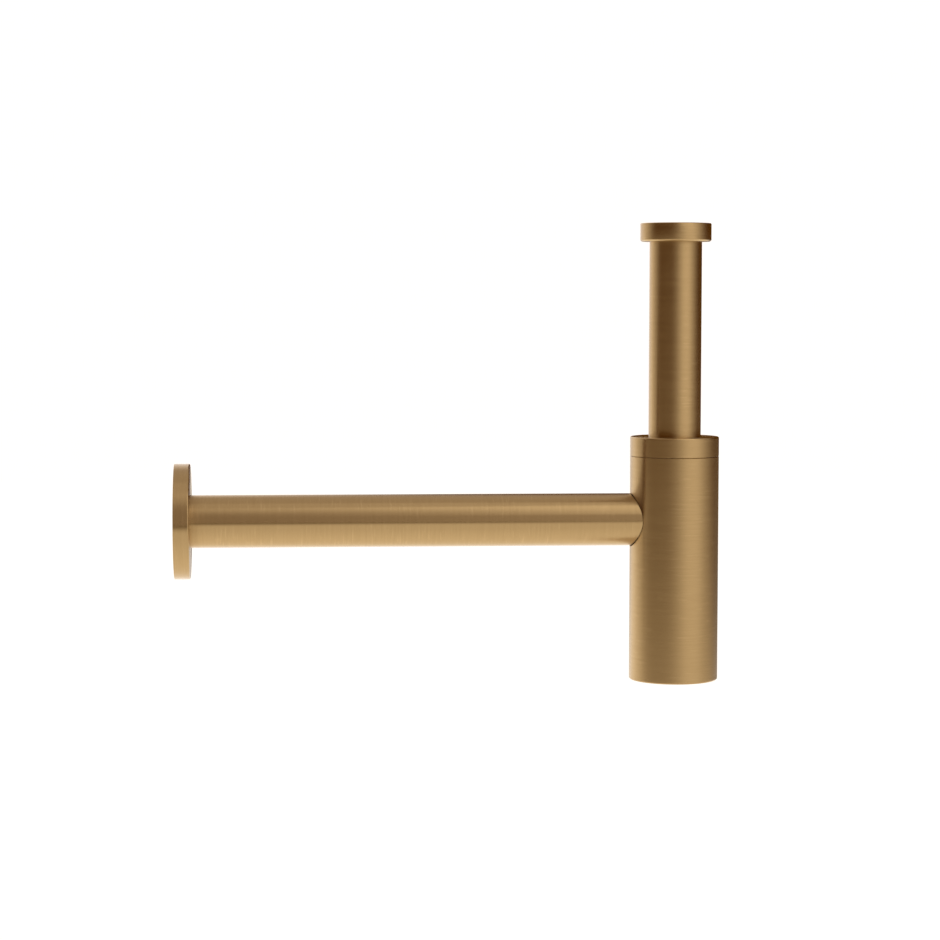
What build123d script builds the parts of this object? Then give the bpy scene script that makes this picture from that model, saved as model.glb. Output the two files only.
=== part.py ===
# Bottle trap for a washbasin, in turned and brushed brass.
# Frame: +Z up, the outlet runs towards -X, the origin is on the inlet axis,
# on the top face of the inlet washer, where the basin waste comes to rest.
import os

from build123d import *

os.makedirs("parts", exist_ok=True)

# Shared clearances
seat_gap = 0.05          # flat faces that meet across a joint
fit_gap = 0.05           # rings and seals on the tube or groove that carries them
run_gap = 0.3            # turned parts that pass or turn in each other
thread_gap = 0.7         # thread root to the bore or shank that it meshes with

# Stock tube of the riser and the outlet pipe
tube_d = 32.0
tube_wall = 1.2
tube_end_chamfer = 0.4

# Inlet union nut, G 1 1/4 inside for a 32 mm tube: its bore steps out from the tube
inlet_thread_step = 6.952
inlet_thread_minor_d = tube_d + inlet_thread_step
nut_wall = 2.2
nut_thread_depth = 4.9
nut_lip = 1.7
nut_pocket_step = 0.276
nut_top_chamfer = 0.4
nut_foot_chamfer = 0.9
nut_mouth_chamfer = 0.5
nut_ring_height = 1.0
collar_height = 1.4
inlet_washer_height = 2.0

# Riser between the nut and the cap, and the water seal below the outlet
riser_show = 119.0
water_seal = 60.0

# Cap nut on the bottle neck, with its slip ring and cone seal
cap_height = 11.9
cap_plate = 2.2
cap_skirt = 2.0
cap_top_radius = 0.8
cap_ring_height = 1.3
cap_ring_band = 5.6
seal_height = 6.0
seal_head = 5.75
seal_toe = 2.85
seam_gap = 0.15
seam_chamfer = 0.25

# Bottle
bottle_height = 137.5
bottle_wall = 2.0
bottle_floor = 10.0
bottle_foot_radius = 0.9
bottle_inner_chamfer = 2.0
neck_height = 8.0
neck_wall = 2.67
neck_web = 4.0
neck_lead = 0.8
dip_gap = 1.6

# Outlet joint in the side of the bottle
outlet_height = 98.7
outlet_hole_gap = 0.6
socket_wall = 1.8
socket_floor = 1.5
braze_gap = 0.05
nipple_wall = 2.0
nipple_reach = 16.5
outlet_washer_height = 1.2

# Wall flange at the end of the outlet pipe
wall_distance = 305.1
flange_d = 70.0
flange_depth = 9.5
flange_rim = 1.6
flange_plate = 1.8
flange_edge_radius = 0.8
hub_depth = 7.0
hub_wall = 2.0
groove_inset = 3.9
flange_ring_section = 2.4

# Cleaning plug in the foot of the bottle
plug_bore_d = 36.0
plug_head_band = 2.3
plug_head_height = 3.0
plug_head_recess = 0.2
plug_washer_height = 1.5
plug_rise = 0.6
plug_cup_wall = 3.8
plug_lead = 0.8
coin_slot_width = 3.2
coin_slot_length = 26.0
coin_slot_depth = 1.8

# Radii from the riser outwards
tube_r = tube_d / 2
tube_bore_r = tube_r - tube_wall
seal_head_r = tube_r + seal_head
seal_toe_r = tube_r + seal_toe
neck_r = seal_head_r + fit_gap + neck_wall
skirt_bore_r = neck_r + thread_gap
bottle_r = skirt_bore_r + cap_skirt
bottle_bore_r = bottle_r - bottle_wall
dip_r = tube_r + dip_gap
nut_bore_r = inlet_thread_minor_d / 2
nut_pocket_r = nut_bore_r - nut_pocket_step
nut_r = nut_bore_r + nut_wall
collar_r = nut_pocket_r - run_gap

# Heights from the inlet seat downwards
nut_top = nut_thread_depth
collar_top = -inlet_washer_height
collar_foot = collar_top - collar_height
nut_ring_top = collar_foot - seat_gap
nut_ring_foot = nut_ring_top - nut_ring_height
lip_top = nut_ring_foot - seat_gap
nut_foot = lip_top - nut_lip
cap_top = nut_foot - riser_show
cap_foot = cap_top - cap_height
shoulder = cap_foot - seam_gap
bottle_foot = shoulder - bottle_height
neck_top = shoulder + neck_height
cap_pocket_top = cap_top - cap_plate
cap_ring_top = cap_pocket_top - seat_gap
cap_ring_foot = cap_ring_top - cap_ring_height
seal_top = cap_ring_foot - seat_gap
seal_foot = seal_top - seal_height
seal_ledge = seal_foot - seat_gap
floor_top = bottle_foot + bottle_floor
outlet_z = bottle_foot + outlet_height

# Reach of the outlet joint, measured from the bottle's axis towards -X
socket_inner = dip_r
socket_seat = socket_inner + socket_floor
washer_inner = socket_seat + seat_gap
washer_outer = washer_inner + outlet_washer_height
pipe_inner = washer_outer + seat_gap
nipple_tip = socket_seat + nipple_reach
nipple_r = tube_bore_r - thread_gap
nipple_bore_r = nipple_r - nipple_wall
outlet_hole_r = tube_r + outlet_hole_gap
socket_r = outlet_hole_r + socket_wall
dip_mouth = outlet_z - nipple_bore_r - water_seal

# Plug levels and radii
plug_bore_r = plug_bore_d / 2
plug_shank_r = plug_bore_r - thread_gap
plug_head_r = plug_bore_r + plug_head_band
plug_face = bottle_foot + plug_head_recess
plug_shoulder = plug_face + plug_head_height
plug_washer_foot = plug_shoulder + seat_gap
plug_washer_top = plug_washer_foot + plug_washer_height
plug_seat = plug_washer_top + seat_gap
plug_top = floor_top + plug_rise


# Plane across the outlet axis at a given reach, facing the wall
def outlet_plane(reach):
    return Plane(origin=(-reach, 0, outlet_z), x_dir=(0, 1, 0), z_dir=(-1, 0, 0))


outlet_axis = Axis((0, 0, outlet_z), (-1, 0, 0))

# Bottle: turned brass body with the threaded neck, cone seat, floor and outlet hole
seat_slope = (seal_head - seal_toe) / seal_height
seat_toe_r = seal_toe_r + fit_gap
seat_mouth_r = seat_toe_r + seat_slope * (neck_top - seal_ledge)
with BuildPart() as bottle:
    with BuildSketch(Plane.XZ):
        with BuildLine():
            Polyline(
                (plug_head_r + run_gap, bottle_foot),
                (bottle_r, bottle_foot),
                (bottle_r, shoulder),
                (neck_r, shoulder),
                (neck_r, neck_top),
                (seat_mouth_r, neck_top),
                (seat_toe_r, seal_ledge),
                (dip_r, seal_ledge),
                (dip_r, shoulder - neck_web),
                (bottle_bore_r, shoulder - neck_web),
                (bottle_bore_r, floor_top),
                (plug_bore_r, floor_top),
                (plug_bore_r, plug_seat),
                (plug_head_r + run_gap, plug_seat),
                close=True,
            )
        make_face()
    revolve(axis=Axis.Z)
    rings = bottle.edges().filter_by(GeomType.CIRCLE)
    fillet(rings.group_by(Axis.Z)[0].sort_by(SortBy.RADIUS)[-1], bottle_foot_radius)
    rings = bottle.edges().filter_by(GeomType.CIRCLE)
    chamfer(rings.group_by(Axis.Z)[-1].sort_by(SortBy.RADIUS)[-1], neck_lead)
    shoulder_edge = bottle.edges().filter_by(GeomType.CIRCLE).filter_by(
        lambda edge: abs(edge.center().Z - shoulder) < fit_gap
    )
    chamfer(shoulder_edge.sort_by(SortBy.RADIUS)[-1], seam_chamfer)
    chamber_edges = bottle.edges().filter_by(GeomType.CIRCLE).filter_by(
        lambda edge: abs(edge.radius - bottle_bore_r) < fit_gap
    )
    chamfer(chamber_edges, bottle_inner_chamfer)
    with BuildSketch(outlet_plane(0)):
        Circle(outlet_hole_r)
    extrude(amount=bottle_r + run_gap, mode=Mode.SUBTRACT)
bottle.part.label = "bottle"
export_step(bottle.part, "parts/bottle.step")

# Outlet socket: turned cup brazed inside the bottle, trimmed to the chamber wall,
# with the nipple that the outlet pipe screws over
with BuildPart() as outlet_socket:
    with BuildSketch(outlet_plane(socket_inner)):
        Circle(socket_r)
    extrude(amount=bottle_r - socket_inner)
    with BuildSketch(outlet_plane(socket_seat)):
        Circle(outlet_hole_r)
    extrude(amount=bottle_r, mode=Mode.SUBTRACT)
    with BuildSketch(Plane.XY.offset(outlet_z - socket_r - run_gap)):
        Circle(bottle_bore_r - braze_gap)
    extrude(amount=2 * (socket_r + run_gap), mode=Mode.INTERSECT)
    with BuildSketch(outlet_plane(socket_inner)):
        Circle(nipple_r)
    extrude(amount=nipple_tip - socket_inner)
    with BuildSketch(outlet_plane(socket_inner)):
        Circle(nipple_bore_r)
    extrude(amount=nipple_tip - socket_inner, mode=Mode.SUBTRACT)
    tip_edges = outlet_socket.edges().filter_by(GeomType.CIRCLE).group_by(Axis.X)[0]
    chamfer(tip_edges, tube_end_chamfer)
outlet_socket.part.label = "outlet_socket"
export_step(outlet_socket.part, "parts/outlet_socket.step")

# Outlet washer: flat rubber ring between the pipe's end and the socket floor
with BuildPart() as outlet_washer:
    with BuildSketch(outlet_plane(washer_inner)):
        Circle(outlet_hole_r - run_gap)
        Circle(nipple_r + run_gap, mode=Mode.SUBTRACT)
    extrude(amount=outlet_washer_height)
outlet_washer.part.label = "outlet_washer"
export_step(outlet_washer.part, "parts/outlet_washer.step")

# Outlet pipe: straight brushed tube from the socket to the wall
with BuildPart() as outlet_pipe:
    with BuildSketch(outlet_plane(pipe_inner)):
        Circle(tube_r)
        Circle(tube_bore_r, mode=Mode.SUBTRACT)
    extrude(amount=wall_distance - pipe_inner)
    pipe_mouth = outlet_pipe.edges().filter_by(GeomType.CIRCLE).group_by(Axis.X)[0]
    chamfer(pipe_mouth, tube_end_chamfer)
outlet_pipe.part.label = "outlet_pipe"
export_step(outlet_pipe.part, "parts/outlet_pipe.step")

# Flange ring: rubber ring that holds the flange on the pipe
flange_front = wall_distance - flange_depth
flange_ring_r = tube_r + fit_gap + flange_ring_section / 2
flange_groove_r = tube_r + flange_ring_section + 2 * fit_gap
groove_reach = flange_front + groove_inset
groove_half = flange_ring_section / 2 + run_gap / 2
with BuildPart() as flange_o_ring:
    with BuildSketch(Plane.XZ):
        with Locations((-groove_reach, outlet_z + flange_ring_r)):
            Circle(flange_ring_section / 2)
    revolve(axis=outlet_axis)
flange_o_ring.part.label = "flange_o_ring"
export_step(flange_o_ring.part, "parts/flange_o_ring.step")

# Wall flange: spun cup with a rolled edge and a hub that is grooved for its ring
flange_r = flange_d / 2
hub_bore_r = tube_r + run_gap
hub_r = flange_groove_r + hub_wall
hub_end = flange_front + hub_depth
with BuildPart() as wall_flange:
    with BuildSketch(Plane.XZ):
        with BuildLine():
            Polyline(
                (-flange_front, outlet_z + hub_bore_r),
                (-flange_front, outlet_z + flange_r),
                (-wall_distance, outlet_z + flange_r),
                (-wall_distance, outlet_z + flange_r - flange_rim),
                (-flange_front - flange_plate, outlet_z + flange_r - flange_rim),
                (-flange_front - flange_plate, outlet_z + hub_r),
                (-hub_end, outlet_z + hub_r),
                (-hub_end, outlet_z + hub_bore_r),
                (-groove_reach - groove_half, outlet_z + hub_bore_r),
                (-groove_reach - groove_half, outlet_z + flange_groove_r),
                (-groove_reach + groove_half, outlet_z + flange_groove_r),
                (-groove_reach + groove_half, outlet_z + hub_bore_r),
                close=True,
            )
        make_face()
    revolve(axis=outlet_axis)
    front_edges = wall_flange.edges().filter_by(GeomType.CIRCLE).group_by(Axis.X)[-1]
    fillet(front_edges.sort_by(SortBy.RADIUS)[-1], flange_edge_radius)
wall_flange.part.label = "wall_flange"
export_step(wall_flange.part, "parts/wall_flange.step")

# Plug washer: flat rubber washer under the plug's head
with BuildPart() as plug_washer:
    with BuildSketch(Plane.XY.offset(plug_washer_foot)):
        Circle(plug_head_r)
        Circle(plug_shank_r + run_gap, mode=Mode.SUBTRACT)
    extrude(amount=plug_washer_height)
plug_washer.part.label = "plug_washer"
export_step(plug_washer.part, "parts/plug_washer.step")

# Base plug: turned cleaning plug with a cupped top and a coin slot in its face
with BuildPart() as base_plug:
    with BuildSketch(Plane.XZ):
        with BuildLine():
            Polyline(
                (0, plug_face),
                (plug_head_r, plug_face),
                (plug_head_r, plug_shoulder),
                (plug_shank_r, plug_shoulder),
                (plug_shank_r, plug_top),
                (plug_shank_r - plug_cup_wall, plug_top),
                (plug_shank_r - plug_cup_wall, plug_washer_top),
                (0, plug_washer_top),
                close=True,
            )
        make_face()
    revolve(axis=Axis.Z)
    rim_edges = base_plug.edges().filter_by(GeomType.CIRCLE).group_by(Axis.Z)[-1]
    chamfer(rim_edges.sort_by(SortBy.RADIUS)[-1], plug_lead)
    face_edges = base_plug.edges().filter_by(GeomType.CIRCLE).group_by(Axis.Z)[0]
    chamfer(face_edges, tube_end_chamfer)
    with BuildSketch(Plane.XY.offset(plug_face)):
        SlotOverall(coin_slot_length, coin_slot_width)
    extrude(amount=coin_slot_depth, mode=Mode.SUBTRACT)
base_plug.part.label = "base_plug"
export_step(base_plug.part, "parts/base_plug.step")

# Cone seal: tapered rubber ring that grips the riser in the neck's seat
with BuildPart() as cone_seal:
    with BuildSketch(Plane.XZ):
        with BuildLine():
            Polyline(
                (tube_r + fit_gap, seal_foot),
                (seal_toe_r, seal_foot),
                (seal_head_r, seal_top),
                (tube_r + fit_gap, seal_top),
                close=True,
            )
        make_face()
    revolve(axis=Axis.Z)
cone_seal.part.label = "cone_seal"
export_step(cone_seal.part, "parts/cone_seal.step")

# Cap ring: nylon slip ring between the cap and the cone seal
cap_ring_r = tube_r + cap_ring_band
with BuildPart() as cap_ring:
    with BuildSketch(Plane.XY.offset(cap_ring_foot)):
        Circle(cap_ring_r)
        Circle(tube_r + run_gap, mode=Mode.SUBTRACT)
    extrude(amount=cap_ring_height)
cap_ring.part.label = "cap_ring"
export_step(cap_ring.part, "parts/cap_ring.step")

# Cap nut: flush turned cap that screws on the neck and closes the cone seal
cap_web = neck_top + thread_gap
with BuildPart() as cap_nut:
    with BuildSketch(Plane.XZ):
        with BuildLine():
            Polyline(
                (tube_r + run_gap, cap_top),
                (bottle_r, cap_top),
                (bottle_r, cap_foot),
                (skirt_bore_r, cap_foot),
                (skirt_bore_r, cap_web),
                (cap_ring_r + run_gap, cap_web),
                (cap_ring_r + run_gap, cap_pocket_top),
                (tube_r + run_gap, cap_pocket_top),
                close=True,
            )
        make_face()
    revolve(axis=Axis.Z)
    top_edges = cap_nut.edges().filter_by(GeomType.CIRCLE).group_by(Axis.Z)[-1]
    fillet(top_edges.sort_by(SortBy.RADIUS)[-1], cap_top_radius)
    foot_edges = cap_nut.edges().filter_by(GeomType.CIRCLE).group_by(Axis.Z)[0]
    chamfer(foot_edges, seam_chamfer)
cap_nut.part.label = "cap_nut"
export_step(cap_nut.part, "parts/cap_nut.step")

# Inlet tube: riser and dip tube in one length, with the collar that the nut pulls up
with BuildPart() as inlet_tube:
    with BuildSketch(Plane.XY.offset(dip_mouth)):
        Circle(tube_r)
        Circle(tube_bore_r, mode=Mode.SUBTRACT)
    extrude(amount=collar_top - dip_mouth)
    with BuildSketch(Plane.XY.offset(collar_foot)):
        Circle(collar_r)
        Circle(tube_bore_r, mode=Mode.SUBTRACT)
    extrude(amount=collar_height)
    tube_mouth = inlet_tube.edges().filter_by(GeomType.CIRCLE).group_by(Axis.Z)[0]
    chamfer(tube_mouth, tube_end_chamfer)
inlet_tube.part.label = "inlet_tube"
export_step(inlet_tube.part, "parts/inlet_tube.step")

# Inlet washer: flat rubber seal on the collar, under the basin waste
with BuildPart() as inlet_washer:
    with BuildSketch(Plane.XY.offset(collar_top)):
        Circle(collar_r)
        Circle(tube_bore_r, mode=Mode.SUBTRACT)
    extrude(amount=inlet_washer_height)
inlet_washer.part.label = "inlet_washer"
export_step(inlet_washer.part, "parts/inlet_washer.step")

# Nut ring: nylon ring that the nut carries under the collar and along the riser
with BuildPart() as nut_ring:
    with BuildSketch(Plane.XY.offset(nut_ring_foot)):
        Circle(collar_r)
        Circle(tube_r + fit_gap, mode=Mode.SUBTRACT)
    extrude(amount=nut_ring_height)
nut_ring.part.label = "nut_ring"
export_step(nut_ring.part, "parts/nut_ring.step")

# Inlet nut: round union nut with a lip that hangs under the collar
with BuildPart() as inlet_nut:
    with BuildSketch(Plane.XZ):
        with BuildLine():
            Polyline(
                (tube_r + run_gap, nut_foot),
                (nut_r, nut_foot),
                (nut_r, nut_top),
                (nut_bore_r, nut_top),
                (nut_bore_r, 0),
                (nut_pocket_r, 0),
                (nut_pocket_r, lip_top),
                (tube_r + run_gap, lip_top),
                close=True,
            )
        make_face()
    revolve(axis=Axis.Z)
    foot_edges = inlet_nut.edges().filter_by(GeomType.CIRCLE).group_by(Axis.Z)[0]
    chamfer(foot_edges.sort_by(SortBy.RADIUS)[-1], nut_foot_chamfer)
    mouth_edges = inlet_nut.edges().filter_by(GeomType.CIRCLE).group_by(Axis.Z)[-1]
    chamfer(mouth_edges.sort_by(SortBy.RADIUS)[0], nut_mouth_chamfer)
    mouth_edges = inlet_nut.edges().filter_by(GeomType.CIRCLE).group_by(Axis.Z)[-1]
    chamfer(mouth_edges.sort_by(SortBy.RADIUS)[-1], nut_top_chamfer)
inlet_nut.part.label = "inlet_nut"
export_step(inlet_nut.part, "parts/inlet_nut.step")
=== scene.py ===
from math import hypot, pi

import bmesh
import bpy
from mathutils import Matrix, Vector


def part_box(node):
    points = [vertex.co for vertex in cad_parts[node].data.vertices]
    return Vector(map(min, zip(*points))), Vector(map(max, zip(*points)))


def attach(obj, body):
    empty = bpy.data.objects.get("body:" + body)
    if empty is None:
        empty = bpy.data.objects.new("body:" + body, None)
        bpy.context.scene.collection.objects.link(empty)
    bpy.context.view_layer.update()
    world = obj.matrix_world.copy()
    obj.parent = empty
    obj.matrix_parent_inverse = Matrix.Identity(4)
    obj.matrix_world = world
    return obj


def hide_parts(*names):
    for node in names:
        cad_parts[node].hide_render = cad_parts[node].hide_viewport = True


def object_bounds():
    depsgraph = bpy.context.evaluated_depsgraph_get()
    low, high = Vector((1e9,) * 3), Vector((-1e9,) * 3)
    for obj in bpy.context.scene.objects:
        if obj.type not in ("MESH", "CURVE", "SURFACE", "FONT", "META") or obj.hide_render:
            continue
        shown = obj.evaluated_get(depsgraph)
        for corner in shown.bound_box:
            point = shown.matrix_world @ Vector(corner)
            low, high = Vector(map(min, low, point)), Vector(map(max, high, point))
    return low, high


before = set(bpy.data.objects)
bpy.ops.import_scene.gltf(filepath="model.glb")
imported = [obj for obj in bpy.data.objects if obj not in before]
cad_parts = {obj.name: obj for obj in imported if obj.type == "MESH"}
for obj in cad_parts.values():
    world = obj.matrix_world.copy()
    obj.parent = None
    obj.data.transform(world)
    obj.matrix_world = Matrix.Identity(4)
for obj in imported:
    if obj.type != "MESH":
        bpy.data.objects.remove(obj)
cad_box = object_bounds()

# Bottle: the plain round body that holds the water seal. It is turned from brass,
# coated bronze-gold and brushed on the lathe, so fine scratches run round it.
# The cap screws on a neck thread at its top, and its foot is tapped for the plug.
MM = 0.001
bronze_tone = (0.452, 0.307, 0.139, 1.0)
bronze_tone_scratched = (0.548, 0.386, 0.188, 1.0)
bronze_roughness = 0.25
coat_weight, coat_roughness = 0.12, 0.25
brush_spread, brush_turn = 0.85, 0.25
face_feed = 0.83
hairlines_across, hairlines_along = 1300.0, 45.0
grooves_across, grooves_along, grooves_shift = 520.0, 28.0, 3.0
nicks_across, nicks_along, nicks_shift = 1000.0, 120.0, 7.0
line_low, line_high = 0.30, 0.70
hairline_faint, hairline_bright = 0.16, 0.34
nick_low, nick_high, nick_bright = 0.66, 0.80, 0.35
groove_wear = 0.01
groove_relief, groove_depth = 0.055, 0.1 * MM
screw_pitch = 1.5 * MM
thread_steps_a_turn = 72
thread_base_share, thread_half_crest_share = 0.62, 0.10
thread_taper_turns = 0.25
thread_crease = 0.4
neck_root, neck_crest = 24.42 * MM, 25.02 * MM
neck_thread_foot, neck_turns = -136.15 * MM, 4
base_root, base_crest = 18.05 * MM, 17.45 * MM
base_thread_foot, base_turns = -268.75 * MM, 2.4


def brushed_metal(name, lathe_axis, lathe_centre, tone, scratched, roughness):
    """Metal with fine scratches that run round a lathe's axis."""
    metal = bpy.data.materials.new(name)
    metal.use_nodes = True
    nodes, links = metal.node_tree.nodes, metal.node_tree.links
    shader = nodes["Principled BSDF"]
    shader.inputs["Metallic"].default_value = 1.0
    shader.inputs["Coat Weight"].default_value = coat_weight
    shader.inputs["Coat Roughness"].default_value = coat_roughness
    shader.inputs["Anisotropic"].default_value = brush_spread
    shader.inputs["Anisotropic Rotation"].default_value = brush_turn
    grain_way = nodes.new("ShaderNodeTangent")
    grain_way.direction_type = "RADIAL"
    grain_way.axis = lathe_axis
    links.new(grain_way.outputs["Tangent"], shader.inputs["Tangent"])

    place = nodes.new("ShaderNodeTexCoord")
    centred = nodes.new("ShaderNodeMapping")
    centred.vector_type = "TEXTURE"
    centred.inputs["Location"].default_value = lathe_centre
    links.new(place.outputs["Object"], centred.inputs["Vector"])
    parts = nodes.new("ShaderNodeSeparateXYZ")
    links.new(centred.outputs["Vector"], parts.inputs["Vector"])
    flat = nodes.new("ShaderNodeVectorMath")
    flat.operation = "MULTIPLY"
    flat.inputs[1].default_value = [0.0 if axis == lathe_axis else 1.0 for axis in "XYZ"]
    links.new(centred.outputs["Vector"], flat.inputs[0])
    reach = nodes.new("ShaderNodeVectorMath")
    reach.operation = "LENGTH"
    links.new(flat.outputs["Vector"], reach.inputs[0])
    feed = nodes.new("ShaderNodeMath")
    feed.operation = "MULTIPLY_ADD"
    feed.inputs[1].default_value = face_feed
    links.new(reach.outputs["Value"], feed.inputs[0])
    links.new(parts.outputs[lathe_axis], feed.inputs[2])
    turned = nodes.new("ShaderNodeCombineXYZ")
    for axis in "XYZ":
        source = feed.outputs["Value"] if axis == lathe_axis else parts.outputs[axis]
        links.new(source, turned.inputs[axis])

    def streaks(across, along, shift=0.0):
        stretch = nodes.new("ShaderNodeMapping")
        stretch.inputs["Scale"].default_value = [
            across if axis == lathe_axis else along for axis in "XYZ"
        ]
        stretch.inputs["Location"].default_value = (shift, shift, shift)
        noise = nodes.new("ShaderNodeTexNoise")
        noise.inputs["Scale"].default_value = 1.0
        noise.inputs["Detail"].default_value = 0.0
        links.new(turned.outputs["Vector"], stretch.inputs["Vector"])
        links.new(stretch.outputs["Vector"], noise.inputs["Vector"])
        return noise.outputs["Fac"]

    def spread(value, low, high, to_low, to_high):
        ramp = nodes.new("ShaderNodeMapRange")
        ramp.inputs["From Min"].default_value = low
        ramp.inputs["From Max"].default_value = high
        ramp.inputs["To Min"].default_value = to_low
        ramp.inputs["To Max"].default_value = to_high
        links.new(value, ramp.inputs["Value"])
        return ramp.outputs["Result"]

    hairlines = streaks(hairlines_across, hairlines_along)
    grooves = streaks(grooves_across, grooves_along, grooves_shift)
    nicks = streaks(nicks_across, nicks_along, nicks_shift)

    shade = nodes.new("ShaderNodeMix")
    shade.data_type = "RGBA"
    shade.inputs["A"].default_value = tone
    shade.inputs["B"].default_value = scratched
    lines = nodes.new("ShaderNodeMath")
    lines.operation = "ADD"
    lines.use_clamp = True
    hairline_share = spread(hairlines, line_low, line_high, hairline_faint, hairline_bright)
    nick_share = spread(nicks, nick_low, nick_high, 0.0, nick_bright)
    links.new(hairline_share, lines.inputs[0])
    links.new(nick_share, lines.inputs[1])
    links.new(lines.outputs["Value"], shade.inputs["Factor"])
    links.new(shade.outputs["Result"], shader.inputs["Base Color"])

    wear = spread(grooves, line_low, line_high, roughness - groove_wear, roughness + groove_wear)
    links.new(wear, shader.inputs["Roughness"])

    relief = nodes.new("ShaderNodeBump")
    relief.inputs["Strength"].default_value = groove_relief
    relief.inputs["Distance"].default_value = groove_depth
    links.new(grooves, relief.inputs["Height"])
    links.new(relief.outputs["Normal"], shader.inputs["Normal"])
    return metal


def finish_node(node, finish):
    """Give a frame node its finish."""
    node_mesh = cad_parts[node].data
    node_mesh.materials.clear()
    node_mesh.materials.append(finish)


def thread_ridge(name, root, crest, foot, turns, pitch, place=Matrix(), base_share=thread_base_share):
    """One thread ridge as a mesh: a trapezium spun up a right-hand helix, tapered at both ends."""
    steps = round(thread_steps_a_turn * turns)
    half_base, half_crest = base_share * pitch / 2, thread_half_crest_share * pitch
    ridge = bmesh.new()
    corners = [
        ridge.verts.new((root, 0, foot - half_base)),
        ridge.verts.new((crest, 0, foot - half_crest)),
        ridge.verts.new((crest, 0, foot + half_crest)),
        ridge.verts.new((root, 0, foot + half_base)),
    ]
    section = ridge.faces.new(corners)
    bmesh.ops.spin(
        ridge,
        geom=[section],
        cent=(0, 0, 0),
        axis=(0, 0, 1),
        dvec=(0, 0, pitch / thread_steps_a_turn),
        angle=2 * pi * turns,
        steps=steps,
    )
    taper_steps = thread_steps_a_turn * thread_taper_turns
    ridge.verts.ensure_lookup_table()
    for vert in ridge.verts:
        reach = hypot(vert.co.x, vert.co.y)
        if abs(reach - crest) > abs(reach - root):
            continue
        step = vert.index // len(corners)
        end = min(1.0, (min(step, steps - step) + 0.5) / taper_steps)
        eased = root + (crest - root) * end
        vert.co.x *= eased / reach
        vert.co.y *= eased / reach
    bmesh.ops.transform(ridge, matrix=place, verts=ridge.verts)
    bmesh.ops.recalc_face_normals(ridge, faces=ridge.faces)
    for face in ridge.faces:
        face.smooth = True
    for edge in ridge.edges:
        edge.smooth = edge.calc_face_angle(pi) < thread_crease
    mesh = bpy.data.meshes.new(name)
    ridge.to_mesh(mesh)
    ridge.free()
    return mesh


def add_piece(name, mesh, finish, body):
    """Put a new piece in the scene, on the body that carries it."""
    mesh.materials.append(finish)
    piece = bpy.data.objects.new(name, mesh)
    bpy.context.scene.collection.objects.link(piece)
    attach(piece, body)
    return piece


upright_bronze = brushed_metal(
    "upright_bronze", "Z", (0, 0, 0), bronze_tone, bronze_tone_scratched, bronze_roughness
)
finish_node("bottle", upright_bronze)
neck_thread = thread_ridge(
    "neck_thread", neck_root, neck_crest, neck_thread_foot, neck_turns, screw_pitch
)
add_piece("neck_thread", neck_thread, upright_bronze, "bottle")
base_thread = thread_ridge(
    "base_thread", base_root, base_crest, base_thread_foot, base_turns, screw_pitch
)
add_piece("base_thread", base_thread, upright_bronze, "bottle")

# Outlet socket: a cup with a threaded nipple, brazed inside the bottle at its side hole.
# It is plain turned brass, left uncoated, with the tool's marks round its axis.
brass_tone = (0.56, 0.41, 0.17, 1.0)
brass_tone_cut = (0.66, 0.50, 0.24, 1.0)
brass_roughness = 0.24
outlet_height = -176.05 * MM
outlet_centre = (0, 0, outlet_height)
outlet_way = Matrix.Translation(outlet_centre) @ Matrix.Rotation(-pi / 2, 4, "Y")
nipple_root, nipple_crest = 14.05 * MM, 14.65 * MM
nipple_thread_start, nipple_turns = 21.6 * MM, 8
turned_brass = brushed_metal(
    "turned_brass", "X", outlet_centre, brass_tone, brass_tone_cut, brass_roughness
)
finish_node("outlet_socket", turned_brass)
nipple_thread = thread_ridge(
    "nipple_thread", nipple_root, nipple_crest, nipple_thread_start, nipple_turns, screw_pitch,
    outlet_way,
)
add_piece("nipple_thread", nipple_thread, turned_brass, "bottle")

# Outlet washer: a flat ring of black rubber between the pipe's end and the socket's floor.
# It is punched from sheet, so its faces have a fine matt grain, and its hole is wide
# enough to pass over the nipple's thread.
rubber_tone = (0.018, 0.018, 0.018, 1.0)
rubber_tone_dusty = (0.045, 0.044, 0.042, 1.0)
rubber_roughness = 0.62
rubber_grain, rubber_grain_height = 2600.0, 0.1 * MM
soft_gloss = 0.35
grain_detail, grain_relief = 3.0, 0.35
bloom_width, bloom_detail = 22, 4.0
bloom_low, bloom_high, bloom_wear = 0.3, 0.7, 0.08
washer_low, washer_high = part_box("outlet_washer")
washer_start, washer_end = -washer_high[0], -washer_low[0]
washer_hole, washer_rim = 14.75 * MM, washer_high[1]
washer_edge_round = 0.12 * MM
ring_segments = 144
ring_merge = 1e-7
ring_crease, ring_smooth = 0.4, 0.6
ring_edge_steps = 3


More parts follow.
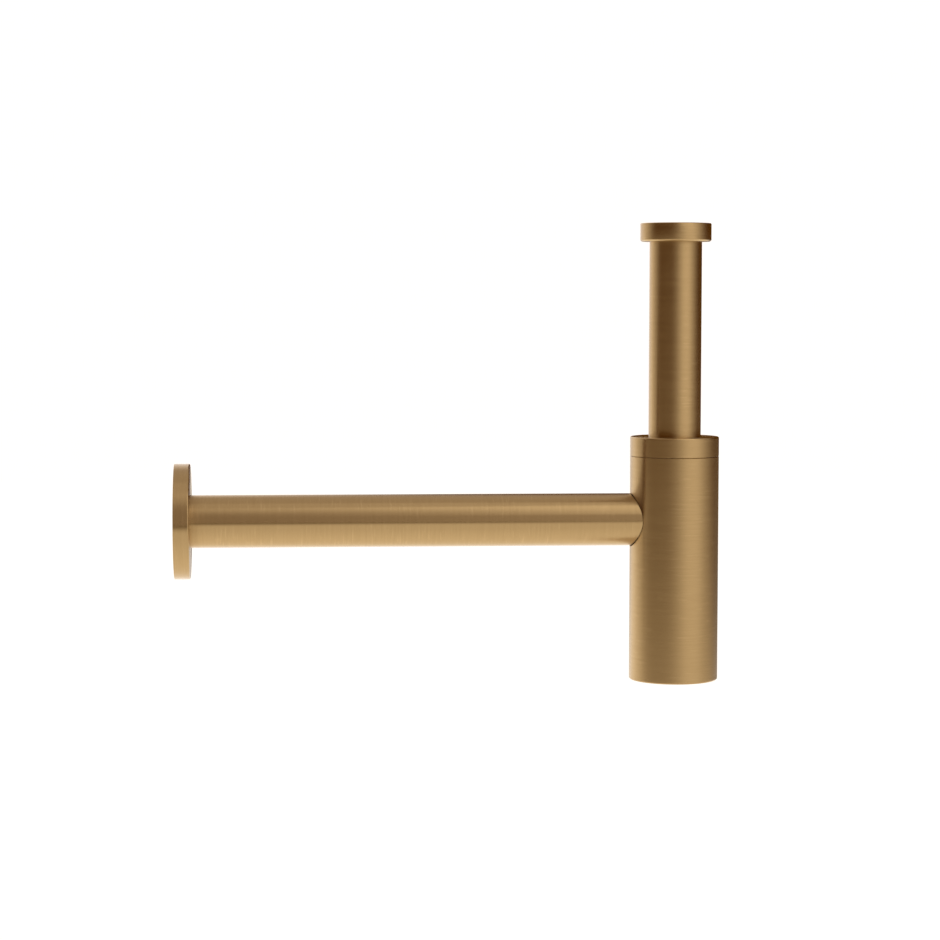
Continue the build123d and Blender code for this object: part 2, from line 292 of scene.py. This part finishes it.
def moulded_soft(name, tone, dusty, roughness, grain_scale, grain_height):
    """Matt rubber or plastic with a fine grain and a little bloom on its surface."""
    soft = bpy.data.materials.new(name)
    soft.use_nodes = True
    nodes, links = soft.node_tree.nodes, soft.node_tree.links
    shader = nodes["Principled BSDF"]
    shader.inputs["Specular IOR Level"].default_value = soft_gloss
    place = nodes.new("ShaderNodeTexCoord")
    grain = nodes.new("ShaderNodeTexNoise")
    grain.inputs["Scale"].default_value = grain_scale
    grain.inputs["Detail"].default_value = grain_detail
    bloom = nodes.new("ShaderNodeTexNoise")
    bloom.inputs["Scale"].default_value = grain_scale / bloom_width
    bloom.inputs["Detail"].default_value = bloom_detail
    for noise in (grain, bloom):
        links.new(place.outputs["Object"], noise.inputs["Vector"])
    shade = nodes.new("ShaderNodeMix")
    shade.data_type = "RGBA"
    shade.inputs["A"].default_value = tone
    shade.inputs["B"].default_value = dusty
    links.new(bloom.outputs["Fac"], shade.inputs["Factor"])
    links.new(shade.outputs["Result"], shader.inputs["Base Color"])
    matt = nodes.new("ShaderNodeMapRange")
    matt.inputs["From Min"].default_value = bloom_low
    matt.inputs["From Max"].default_value = bloom_high
    matt.inputs["To Min"].default_value = roughness - bloom_wear
    matt.inputs["To Max"].default_value = roughness + bloom_wear
    links.new(bloom.outputs["Fac"], matt.inputs["Value"])
    links.new(matt.outputs["Result"], shader.inputs["Roughness"])
    relief = nodes.new("ShaderNodeBump")
    relief.inputs["Strength"].default_value = grain_relief
    relief.inputs["Distance"].default_value = grain_height
    links.new(grain.outputs["Fac"], relief.inputs["Height"])
    links.new(relief.outputs["Normal"], shader.inputs["Normal"])
    return soft


def turned_ring(name, profile, edge_round, place=Matrix()):
    """A ring as a mesh: a closed profile of (radius, height) corners spun round, its edges eased."""
    ring = bmesh.new()
    corners = [ring.verts.new((reach, 0, height)) for reach, height in profile]
    outline = [
        ring.edges.new((corner, corners[(n + 1) % len(corners)]))
        for n, corner in enumerate(corners)
    ]
    bmesh.ops.spin(
        ring,
        geom=corners + outline,
        cent=(0, 0, 0),
        axis=(0, 0, 1),
        angle=2 * pi,
        steps=ring_segments,
        use_merge=True,
    )
    bmesh.ops.remove_doubles(ring, verts=ring.verts, dist=ring_merge)
    bmesh.ops.recalc_face_normals(ring, faces=ring.faces)
    creases = [edge for edge in ring.edges if edge.calc_face_angle(0.0) > ring_crease]
    bmesh.ops.bevel(
        ring,
        geom=creases,
        offset=edge_round,
        segments=ring_edge_steps,
        profile=0.5,
        affect="EDGES",
        material=-1,
    )
    bmesh.ops.transform(ring, matrix=place, verts=ring.verts)
    for face in ring.faces:
        face.smooth = True
    for edge in ring.edges:
        edge.smooth = edge.calc_face_angle(pi) < ring_smooth
    mesh = bpy.data.meshes.new(name)
    ring.to_mesh(mesh)
    ring.free()
    return mesh


black_rubber = moulded_soft(
    "black_rubber", rubber_tone, rubber_tone_dusty, rubber_roughness, rubber_grain, rubber_grain_height
)
washer_profile = [
    (washer_hole, washer_start),
    (washer_rim, washer_start),
    (washer_rim, washer_end),
    (washer_hole, washer_end),
]
washer_mesh = turned_ring("flat_washer", washer_profile, washer_edge_round, outlet_way)
flat_washer = add_piece("flat_washer", washer_mesh, black_rubber, "outlet_washer")
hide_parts("outlet_washer")

# Outlet pipe: a straight 32 mm brass tube from the bottle to the wall, coated and brushed
# round like the bottle. A female thread inside its near end screws on the socket's nipple.
pipe_thread_root, pipe_thread_crest = 14.85 * MM, 14.25 * MM
pipe_thread_start, pipe_turns = nipple_thread_start + screw_pitch / 2, 8
level_bronze = brushed_metal(
    "level_bronze", "X", outlet_centre, bronze_tone, bronze_tone_scratched, bronze_roughness
)
finish_node("outlet_pipe", level_bronze)
pipe_thread = thread_ridge(
    "pipe_thread", pipe_thread_root, pipe_thread_crest, pipe_thread_start, pipe_turns, screw_pitch,
    outlet_way,
)
add_piece("pipe_thread", pipe_thread, level_bronze, "outlet_pipe")

# Flange ring: a round-section rubber ring in the flange's hub. It grips the pipe,
# so the flange stays where it is pushed.
finish_node("flange_o_ring", black_rubber)

# Wall flange: a shallow spun cup that covers the drain's hole in the wall.
# It is brass with the same coat, brushed round its own axis.
finish_node("wall_flange", level_bronze)

# Base plug and its washer: a flush brass plug with a coin slot, screwed into the bottle's foot
# on a flat rubber washer, for cleaning the trap out.
plug_root, plug_crest = 17.25 * MM, 17.85 * MM
plug_thread_foot, plug_turns = base_thread_foot - screw_pitch / 2, 3
finish_node("plug_washer", black_rubber)
finish_node("base_plug", upright_bronze)
plug_thread = thread_ridge(
    "plug_thread", plug_root, plug_crest, plug_thread_foot, plug_turns, screw_pitch
)
add_piece("plug_thread", plug_thread, upright_bronze, "base_plug")

# Cone seal and slip ring: a tapered rubber seal that grips the riser in the bottle's neck,
# and a nylon ring above it that lets the cap turn without dragging the seal.
nylon_tone = (0.74, 0.72, 0.66, 1.0)
nylon_tone_dusty = (0.82, 0.81, 0.77, 1.0)
nylon_roughness = 0.45
nylon_grain, nylon_grain_height = 1400.0, 0.05 * MM
white_nylon = moulded_soft(
    "white_nylon", nylon_tone, nylon_tone_dusty, nylon_roughness, nylon_grain, nylon_grain_height
)
finish_node("cone_seal", black_rubber)
finish_node("cap_ring", white_nylon)

# Cap: the flush ring nut above the seam, which squeezes the seal on the riser.
# It is turned, coated and brushed with the bottle, and has a female thread in its skirt.
skirt_root, skirt_crest = 25.22 * MM, 24.62 * MM
skirt_thread_foot, skirt_turns = neck_thread_foot + screw_pitch / 2, 3.6
finish_node("cap_nut", upright_bronze)
skirt_thread = thread_ridge(
    "skirt_thread", skirt_root, skirt_crest, skirt_thread_foot, skirt_turns, screw_pitch
)
add_piece("skirt_thread", skirt_thread, upright_bronze, "cap_nut")

# Riser: a 32 mm brass tube with a collar at its top, which goes on down into the bottle
# as the dip tube. It is coated and brushed round over its whole length.
finish_node("inlet_tube", upright_bronze)

# Inlet washer and nut ring: a flat rubber washer on the riser's collar, which the basin
# waste presses on, and a thin nylon ring on which the nut turns.
finish_node("inlet_washer", black_rubber)
finish_node("nut_ring", white_nylon)

# Inlet nut: the round union nut that hangs the trap from the basin waste. It is turned brass
# with the same coat, and its bore has the coarse pipe thread of such a joint.
nut_profile = [
    (16.30, -6.20), (20.776, -6.20), (21.676, -5.30), (21.676, 4.50), (21.276, 4.90),
    (21.05, 4.90), (20.55, 4.40), (20.55, 0.25), (20.30, 0.00), (19.20, 0.00), (19.20, -4.50),
    (16.30, -4.50),
]
nut_edge_round = 0.15 * MM
nut_thread_root, nut_thread_crest = 20.60 * MM, 19.50 * MM
nut_thread_pitch, nut_thread_base_share = 2.309 * MM, 0.80
nut_thread_foot, nut_turns = 1.00 * MM, 1.25
nut_mesh = turned_ring(
    "union_nut", [(reach * MM, height * MM) for reach, height in nut_profile], nut_edge_round
)
union_nut = add_piece("union_nut", nut_mesh, upright_bronze, "inlet_nut")
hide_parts("inlet_nut")
nut_thread = thread_ridge(
    "nut_thread", nut_thread_root, nut_thread_crest, nut_thread_foot, nut_turns, nut_thread_pitch,
    base_share=nut_thread_base_share,
)
add_piece("nut_thread", nut_thread, upright_bronze, "inlet_nut")

# Floor: a plain pale floor well below the part, which hangs from its nut. It is white to the
# eye and see-through from below. In the metal it is bright near the part, and fades out
# towards the front left and towards the far right corner.
floor_drop = 0.30
floor_half = 6.0
floor_tone = (0.36, 0.30, 0.20, 1.0)
floor_roughness = 0.95
floor_glow_seen = 0.92
floor_glow_near, floor_glow_far = 0.76, 0.0
floor_fade_way = Vector((1.3, 1.0, 0.0))
floor_near, floor_far = -1.50, -4.00
floor_corner_way = Vector((0.7, 0.7, 0.0))
floor_corner_near, floor_corner_far = 0.50, 2.60
floor_rear_way = Vector((1.0, -0.161, 0.0))
floor_rear_left, floor_rear_right = -0.10, 0.06
floor_rear_glow = 0.55
floor_depth_way = Vector((0.0, 1.0, 0.0))
floor_front, floor_back = -0.7, 0.5
floor_back_gain = 1.5
floor_mesh = bpy.data.meshes.new("floor")
floor_shape = bmesh.new()
bmesh.ops.create_grid(floor_shape, x_segments=1, y_segments=1, size=floor_half)
bmesh.ops.translate(floor_shape, verts=floor_shape.verts, vec=(0, 0, cad_box[0][2] - floor_drop))
floor_shape.to_mesh(floor_mesh)
floor_shape.free()
floor = bpy.data.objects.new("floor", floor_mesh)
bpy.context.scene.collection.objects.link(floor)


def light_math(tree, operation, first, second):
    """One step of arithmetic on two numbers or sockets."""
    step = tree.nodes.new("ShaderNodeMath")
    step.operation = operation
    for socket, value in zip(step.inputs, (first, second)):
        if isinstance(value, (int, float)):
            socket.default_value = value
        else:
            tree.links.new(value, socket)
    return step.outputs["Value"]


def light_ramp(tree, value, low, high, to_low, to_high):
    """A smooth step from to_low to to_high as the value goes from low to high."""
    step = tree.nodes.new("ShaderNodeMapRange")
    step.interpolation_type = "SMOOTHSTEP"
    step.inputs["From Min"].default_value = low
    step.inputs["From Max"].default_value = high
    step.inputs["To Min"].default_value = to_low
    step.inputs["To Max"].default_value = to_high
    tree.links.new(value, step.inputs["Value"])
    return step.outputs["Result"]


def light_facing(tree, way, towards):
    """How far a direction or place lies along another direction."""
    dot = tree.nodes.new("ShaderNodeVectorMath")
    dot.operation = "DOT_PRODUCT"
    dot.inputs[1].default_value = towards
    tree.links.new(way, dot.inputs[0])
    return dot.outputs["Value"]


pale_floor = bpy.data.materials.new("pale_floor")
pale_floor.use_nodes = True
floor_tree = pale_floor.node_tree
floor_shader = floor_tree.nodes["Principled BSDF"]
floor_shader.inputs["Base Color"].default_value = floor_tone
floor_shader.inputs["Roughness"].default_value = floor_roughness
floor_shader.inputs["Specular IOR Level"].default_value = 0.0
floor_shader.inputs["Emission Color"].default_value = (1, 1, 1, 1)
floor_sight = floor_tree.nodes.new("ShaderNodeLightPath")
floor_place = floor_tree.nodes.new("ShaderNodeTexCoord").outputs["Object"]
floor_seen = light_math(
    floor_tree, "MULTIPLY", floor_sight.outputs["Is Camera Ray"], floor_glow_seen
)
floor_way = light_facing(floor_tree, floor_place, floor_fade_way)
floor_fade = light_ramp(
    floor_tree, floor_way, floor_far, floor_near, floor_glow_far, floor_glow_near
)
floor_corner = light_facing(floor_tree, floor_place, floor_corner_way)
corner_fade = light_ramp(floor_tree, floor_corner, floor_corner_near, floor_corner_far, 1.0, 0.0)
floor_rear = light_facing(floor_tree, floor_place, floor_rear_way)
rear_fade = light_ramp(
    floor_tree, floor_rear, floor_rear_left, floor_rear_right, floor_rear_glow, 0.0
)
far_fade = light_math(floor_tree, "MAXIMUM", corner_fade, rear_fade)
floor_depth = light_facing(floor_tree, floor_place, floor_depth_way)
back_gain = light_ramp(floor_tree, floor_depth, floor_front, floor_back, 1.0, floor_back_gain)
floor_fade = light_math(floor_tree, "MULTIPLY", floor_fade, far_fade)
floor_fade = light_math(floor_tree, "MULTIPLY", floor_fade, back_gain)
floor_mirrored = light_math(
    floor_tree, "MULTIPLY", floor_sight.outputs["Is Glossy Ray"], floor_fade
)
floor_glow = light_math(floor_tree, "ADD", floor_seen, floor_mirrored)
floor_tree.links.new(floor_glow, floor_shader.inputs["Emission Strength"])
floor_side = floor_tree.nodes.new("ShaderNodeNewGeometry")
floor_below = floor_tree.nodes.new("ShaderNodeBsdfTransparent")
floor_sides = floor_tree.nodes.new("ShaderNodeMixShader")
floor_output = floor_tree.nodes["Material Output"]
floor_tree.links.new(floor_side.outputs["Backfacing"], floor_sides.inputs["Fac"])
floor_tree.links.new(floor_shader.outputs["BSDF"], floor_sides.inputs[1])
floor_tree.links.new(floor_below.outputs["BSDF"], floor_sides.inputs[2])
floor_tree.links.new(floor_sides.outputs["Shader"], floor_output.inputs["Surface"])
floor_mesh.materials.append(pale_floor)

# Room: a soft white room, bright behind to the left and overhead, with one broad soft
# light at the right. Round the camera it is dark and warm, which gives the metal its
# dark bands. The eye sees it plain white.
shade_tone = (0.118, 0.045, 0.0, 1.0)
side_light_way = Vector((0.682, -0.731, 0.0))
side_light_fall, side_light_strength = 3.6, 0.92
rear_from, rear_full = -0.32, 0.92
left_full, left_end = -0.03, 0.09
wall_top_from, wall_top_end, wall_top_share = 0.45, 0.95, 0.45
ceiling_from, ceiling_full, ceiling_strength = 0.35, 0.85, 0.50
studio = bpy.data.worlds.new("studio")
bpy.context.scene.world = studio
studio.use_nodes = True
room = studio.node_tree
white_light = room.nodes["Background"]
white_light.inputs["Color"].default_value = (1, 1, 1, 1)
warm_shade = room.nodes.new("ShaderNodeBackground")
warm_shade.inputs["Color"].default_value = shade_tone
room_way = room.nodes.new("ShaderNodeTexCoord").outputs["Generated"]
room_split = room.nodes.new("ShaderNodeSeparateXYZ")
room.links.new(room_way, room_split.inputs["Vector"])
level_way = room.nodes.new("ShaderNodeVectorMath")
level_way.operation = "MULTIPLY"
level_way.inputs[1].default_value = (1, 1, 0)
room.links.new(room_way, level_way.inputs[0])
bearing = room.nodes.new("ShaderNodeVectorMath")
bearing.operation = "NORMALIZE"
room.links.new(level_way.outputs["Vector"], bearing.inputs[0])
side_facing = light_facing(room, bearing.outputs["Vector"], side_light_way)
side_facing = light_math(room, "MAXIMUM", side_facing, 0.0)
side_light = light_math(room, "POWER", side_facing, side_light_fall)
side_light = light_math(room, "MULTIPLY", side_light, side_light_strength)
rearward = light_ramp(room, room_split.outputs["Y"], rear_from, rear_full, 0.0, 1.0)
leftward = light_ramp(room, room_split.outputs["X"], left_full, left_end, 1.0, 0.0)
wall_top = light_ramp(
    room, room_split.outputs["Z"], wall_top_from, wall_top_end, 1.0, wall_top_share
)
ceiling = light_ramp(
    room, room_split.outputs["Z"], ceiling_from, ceiling_full, 0.0, ceiling_strength
)
back_wall = light_math(room, "MULTIPLY", rearward, leftward)
back_wall = light_math(room, "MULTIPLY", back_wall, wall_top)
room_glow = light_math(room, "MAXIMUM", back_wall, ceiling)
room_glow = light_math(room, "MAXIMUM", room_glow, side_light)
room_seen = room.nodes.new("ShaderNodeLightPath")
room_white = light_math(room, "MAXIMUM", room_glow, room_seen.outputs["Is Camera Ray"])
room.links.new(room_white, white_light.inputs["Strength"])
both_lights = room.nodes.new("ShaderNodeAddShader")
room.links.new(white_light.outputs["Background"], both_lights.inputs[0])
room.links.new(warm_shade.outputs["Background"], both_lights.inputs[1])
room.links.new(both_lights.outputs["Shader"], room.nodes["World Output"].inputs["Surface"])

# Front light: one soft box, held above and in front of the part at its right.
# It draws the pale line along the upper side of the pipe.
front_box_place = Vector((0.26, -0.54, 0.50))
front_box_target = Vector((-0.06, 0.0, -0.16))
front_box_size, front_box_radiance = 0.70, 0.45
front_box = bpy.data.lights.new("front_box", "AREA")
front_box.size = front_box_size
front_box.energy = front_box_radiance * pi * front_box_size**2
front_box_holder = bpy.data.objects.new("front_box", front_box)
front_box_aim = (front_box_target - front_box_place).to_track_quat("-Z", "Y").to_matrix().to_4x4()
front_box_holder.matrix_world = Matrix.Translation(front_box_place) @ front_box_aim
bpy.context.scene.collection.objects.link(front_box_holder)

# Camera: straight in front of the part and a little above the outlet, as in the photograph.
# Its focal length is in pixels of a picture 940 wide.
photo_width = 940
focal_length = 2534.3
sensor = 36.0
camera_place = (-0.24829, -1.53749, -0.04252)
camera_yaw, camera_pitch, camera_roll = 0.0795, 0.0666, 0.0014
lens = bpy.data.cameras.new("camera")
lens.sensor_width = sensor
lens.lens = focal_length / photo_width * sensor
camera = bpy.data.objects.new("camera", lens)
camera.matrix_world = (
    Matrix.Translation(camera_place)
    @ Matrix.Rotation(-camera_yaw, 4, "Z")
    @ Matrix.Rotation(pi / 2 - camera_pitch, 4, "X")
    @ Matrix.Rotation(camera_roll, 4, "Z")
)
bpy.context.scene.collection.objects.link(camera)
bpy.context.scene.camera = camera
bpy.context.scene.view_settings.view_transform = "Standard"
